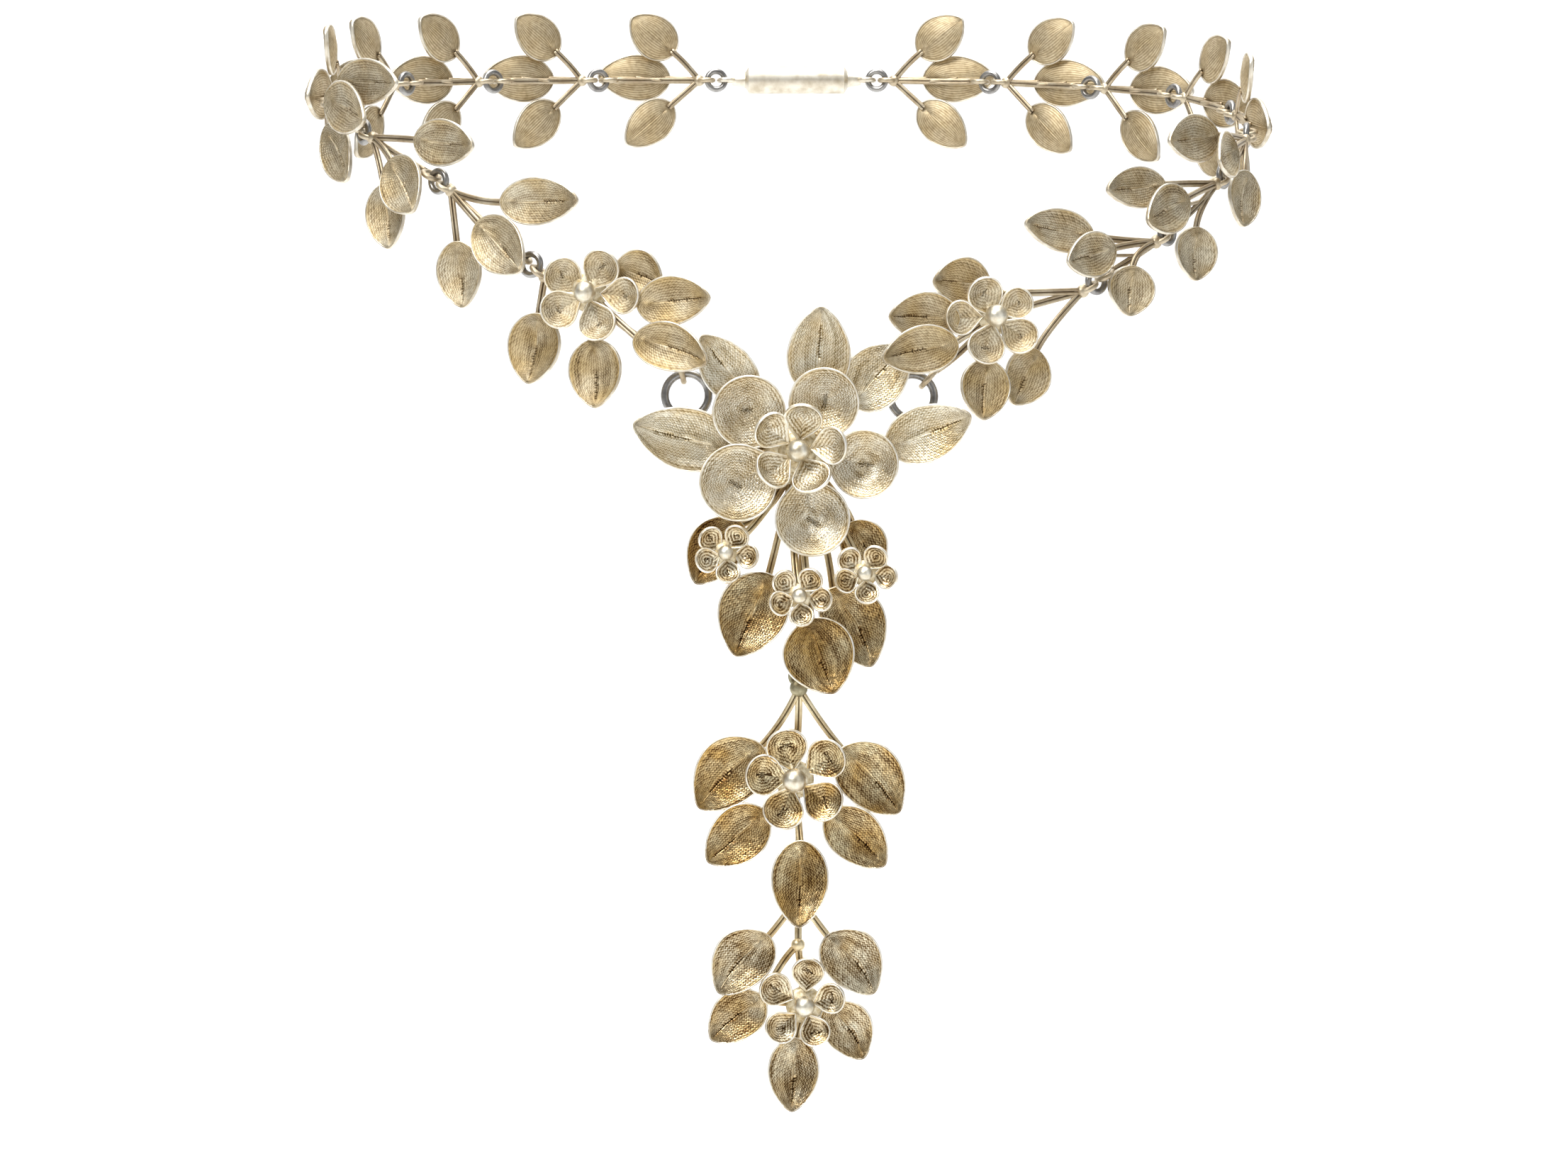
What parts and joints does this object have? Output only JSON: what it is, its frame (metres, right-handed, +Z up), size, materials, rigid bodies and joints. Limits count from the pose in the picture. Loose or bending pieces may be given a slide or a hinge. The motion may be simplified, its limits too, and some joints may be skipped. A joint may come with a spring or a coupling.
{
  "type": "necklace",
  "caption": "Silver filigree necklace of leaves and flowers: a flower pendant with two swinging drops on a loop of linked leaf sprigs.",
  "frame": {"origin": "middle of the neck opening, level with the joints at the sides, where the neck that it hangs on goes through", "axes": "+Z up, front with the pendant towards -Y, +X to the viewer's right"},
  "size_m": [0.147, 0.124, 0.1668],
  "materials": {
    "silver": "satin",
    "tarnished_silver": "satin",
    "dark_ring": "satin"
  },
  "bodies": {
    "necklace": {"centrepiece": "silver", "left_flower_sprig": "silver", "left_sprig_1": "silver", "left_sprig_2": "silver", "left_sprig_3": "silver", "left_sprig_4": "silver", "left_sprig_5": "silver", "left_sprig_6": "silver", "left_sprig_7": "silver", "left_sprig_8": "silver", "right_flower_sprig": "silver", "right_sprig_1": "silver", "right_sprig_2": "silver", "right_sprig_3": "silver", "right_sprig_4": "silver", "right_sprig_5": "silver", "right_sprig_6": "silver", "right_sprig_7": "silver", "right_sprig_8": "silver", "left_ring_1": "dark_ring", "left_ring_2": "dark_ring", "left_ring_3": "dark_ring", "left_ring_4": "dark_ring", "left_ring_5": "dark_ring", "left_ring_6": "dark_ring", "left_ring_7": "dark_ring", "left_ring_8": "dark_ring", "left_ring_9": "dark_ring", "left_ring_10": "dark_ring", "right_ring_1": "dark_ring", "right_ring_2": "dark_ring", "right_ring_3": "dark_ring", "right_ring_4": "dark_ring", "right_ring_5": "dark_ring", "right_ring_6": "dark_ring", "right_ring_7": "dark_ring", "right_ring_8": "dark_ring", "right_ring_9": "dark_ring", "right_ring_10": "dark_ring", "clasp": "silver"},
    "drop_ring_1": {"drop_ring_1": "dark_ring"},
    "drop_1": {"drop_1": "tarnished_silver"},
    "drop_ring_2": {"drop_ring_2": "dark_ring"},
    "drop_2": {"drop_2": "tarnished_silver"}
  },
  "joints": [
    {"name": "ring_1_swing", "type": "hinge", "parent": "necklace", "child": "drop_ring_1", "pos_m": [0.0001, -0.0561, -0.08156], "axis": [1, 0, 0], "range_deg": [-20, 20]},
    {"name": "drop_1_sway", "type": "hinge", "parent": "drop_ring_1", "child": "drop_1", "pos_m": [0.0001, -0.0561, -0.0837], "axis": [0, 1, 0], "range_deg": [-20, 20]},
    {"name": "ring_2_swing", "type": "hinge", "parent": "drop_1", "child": "drop_ring_2", "pos_m": [0.0001, -0.0552, -0.11115], "axis": [1, 0, 0], "range_deg": [-15, 20]},
    {"name": "drop_2_sway", "type": "hinge", "parent": "drop_ring_2", "child": "drop_2", "pos_m": [0.0001, -0.0552, -0.11328], "axis": [0, 1, 0], "range_deg": [-20, 20]}
  ]
}
